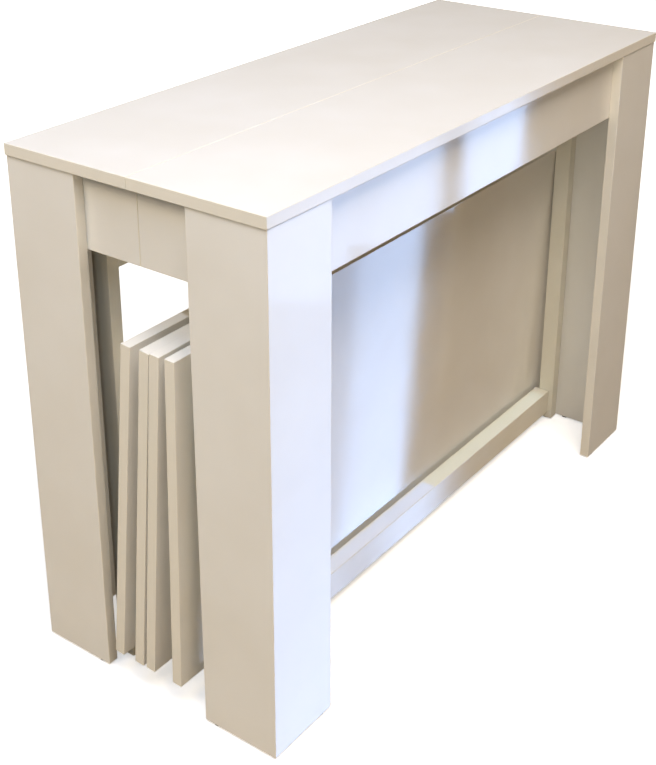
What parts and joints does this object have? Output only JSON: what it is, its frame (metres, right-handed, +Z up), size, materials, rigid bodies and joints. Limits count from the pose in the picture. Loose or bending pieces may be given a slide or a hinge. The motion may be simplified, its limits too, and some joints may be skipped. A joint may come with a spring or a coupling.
{
  "type": "extendable console table",
  "caption": "Extendable console table in glossy white board: half tops on L-shaped panel legs slide apart on telescopic runners, and loose extension leaves stand in a rack inside.",
  "frame": {"origin": "on the floor, under the middle of the closed table", "axes": "+X along the table's length, -Y towards the side of the half that pulls out, +Z up"},
  "size_m": [1.03, 0.424, 0.76],
  "materials": {
    "white_melamine": "high-gloss white melamine-faced particle board, edge-banded",
    "aluminium_runner": "mill-finish extruded aluminium",
    "zinc_steel": "zinc-plated steel",
    "dark_plastic": "moulded dark grey plastic",
    "plain_wood": "planed spruce, unpainted"
  },
  "bodies": {
    "back_half": {"back_top": "white_melamine", "back_long_apron": "white_melamine", "back_left_apron": "white_melamine", "back_right_apron": "white_melamine", "back_left_leg_side": "white_melamine", "back_left_leg_face": "white_melamine", "back_right_leg_side": "white_melamine", "back_right_leg_face": "white_melamine", "back_rails": "aluminium_runner", "back_rail_packing": "dark_plastic", "back_brackets": "zinc_steel", "back_screws": "zinc_steel", "back_glides": "dark_plastic"},
    "front_half": {"front_top": "white_melamine", "front_long_apron": "white_melamine", "front_left_apron": "white_melamine", "front_right_apron": "white_melamine", "front_left_leg_side": "white_melamine", "front_left_leg_face": "white_melamine", "front_right_leg_side": "white_melamine", "front_right_leg_face": "white_melamine", "front_rails": "aluminium_runner", "front_rail_caps": "dark_plastic", "front_rail_cleats": "plain_wood", "front_brackets": "zinc_steel", "front_screws": "zinc_steel", "front_glides": "dark_plastic"},
    "runner_1": {"rails_1": "aluminium_runner", "caps_1": "dark_plastic"},
    "runner_2": {"rails_2": "aluminium_runner", "caps_2": "dark_plastic"},
    "runner_3": {"rails_3": "aluminium_runner", "caps_3": "dark_plastic"},
    "leaf_rack": {"rails_4": "aluminium_runner", "caps_4": "dark_plastic", "rack_front_left_upright": "white_melamine", "rack_front_right_upright": "white_melamine", "rack_rear_left_upright": "white_melamine", "rack_rear_right_upright": "white_melamine", "rack_front_bottom_board": "white_melamine", "rack_rear_bottom_board": "white_melamine", "rack_front_top_board": "white_melamine", "rack_rear_top_board": "white_melamine", "rack_ties": "white_melamine", "rack_bearers": "plain_wood", "rack_posts": "zinc_steel", "rack_glides": "dark_plastic"},
    "runner_5": {"rails_5": "aluminium_runner", "caps_5": "dark_plastic"},
    "runner_6": {"rails_6": "aluminium_runner", "caps_6": "dark_plastic"},
    "runner_7": {"rails_7": "aluminium_runner", "caps_7": "dark_plastic"},
    "leaf_a_body": {"leaf_a": "white_melamine"},
    "leaf_b_body": {"leaf_b": "white_melamine"},
    "leaf_c_body": {"leaf_c": "white_melamine"},
    "leaf_d_body": {"leaf_d": "white_melamine"}
  },
  "joints": [
    {"name": "front_slide", "type": "slide", "parent": "back_half", "child": "front_half", "axis": [0, -1, 0], "range_m": [0, 2]},
    {"name": "runner_1_slide", "type": "slide", "parent": "back_half", "child": "runner_1", "axis": [0, -1, 0], "range_m": [0, 0.25]},
    {"name": "runner_2_slide", "type": "slide", "parent": "back_half", "child": "runner_2", "axis": [0, -1, 0], "range_m": [0, 0.5]},
    {"name": "runner_3_slide", "type": "slide", "parent": "back_half", "child": "runner_3", "axis": [0, -1, 0], "range_m": [0, 0.75]},
    {"name": "rack_slide", "type": "slide", "parent": "back_half", "child": "leaf_rack", "axis": [0, -1, 0], "range_m": [0, 1]},
    {"name": "runner_5_slide", "type": "slide", "parent": "back_half", "child": "runner_5", "axis": [0, -1, 0], "range_m": [0, 1.25]},
    {"name": "runner_6_slide", "type": "slide", "parent": "back_half", "child": "runner_6", "axis": [0, -1, 0], "range_m": [0, 1.5]},
    {"name": "runner_7_slide", "type": "slide", "parent": "back_half", "child": "runner_7", "axis": [0, -1, 0], "range_m": [0, 1.75]},
    {"name": "leaf_a_slide", "type": "slide", "parent": "leaf_rack", "child": "leaf_a_body", "axis": [-1, 0, 0], "range_m": [0, 1.05]},
    {"name": "leaf_b_slide", "type": "slide", "parent": "leaf_rack", "child": "leaf_b_body", "axis": [-1, 0, 0], "range_m": [0, 1.05]},
    {"name": "leaf_c_slide", "type": "slide", "parent": "leaf_rack", "child": "leaf_c_body", "axis": [-1, 0, 0], "range_m": [0, 1.05]},
    {"name": "leaf_d_slide", "type": "slide", "parent": "leaf_rack", "child": "leaf_d_body", "axis": [-1, 0, 0], "range_m": [0, 1.05]}
  ],
  "couplings": [
    {"joint": "runner_1_slide", "follows": "front_slide", "ratio": 0.125},
    {"joint": "runner_2_slide", "follows": "front_slide", "ratio": 0.25},
    {"joint": "runner_3_slide", "follows": "front_slide", "ratio": 0.375},
    {"joint": "rack_slide", "follows": "front_slide", "ratio": 0.5},
    {"joint": "runner_5_slide", "follows": "front_slide", "ratio": 0.625},
    {"joint": "runner_6_slide", "follows": "front_slide", "ratio": 0.75},
    {"joint": "runner_7_slide", "follows": "front_slide", "ratio": 0.875}
  ]
}
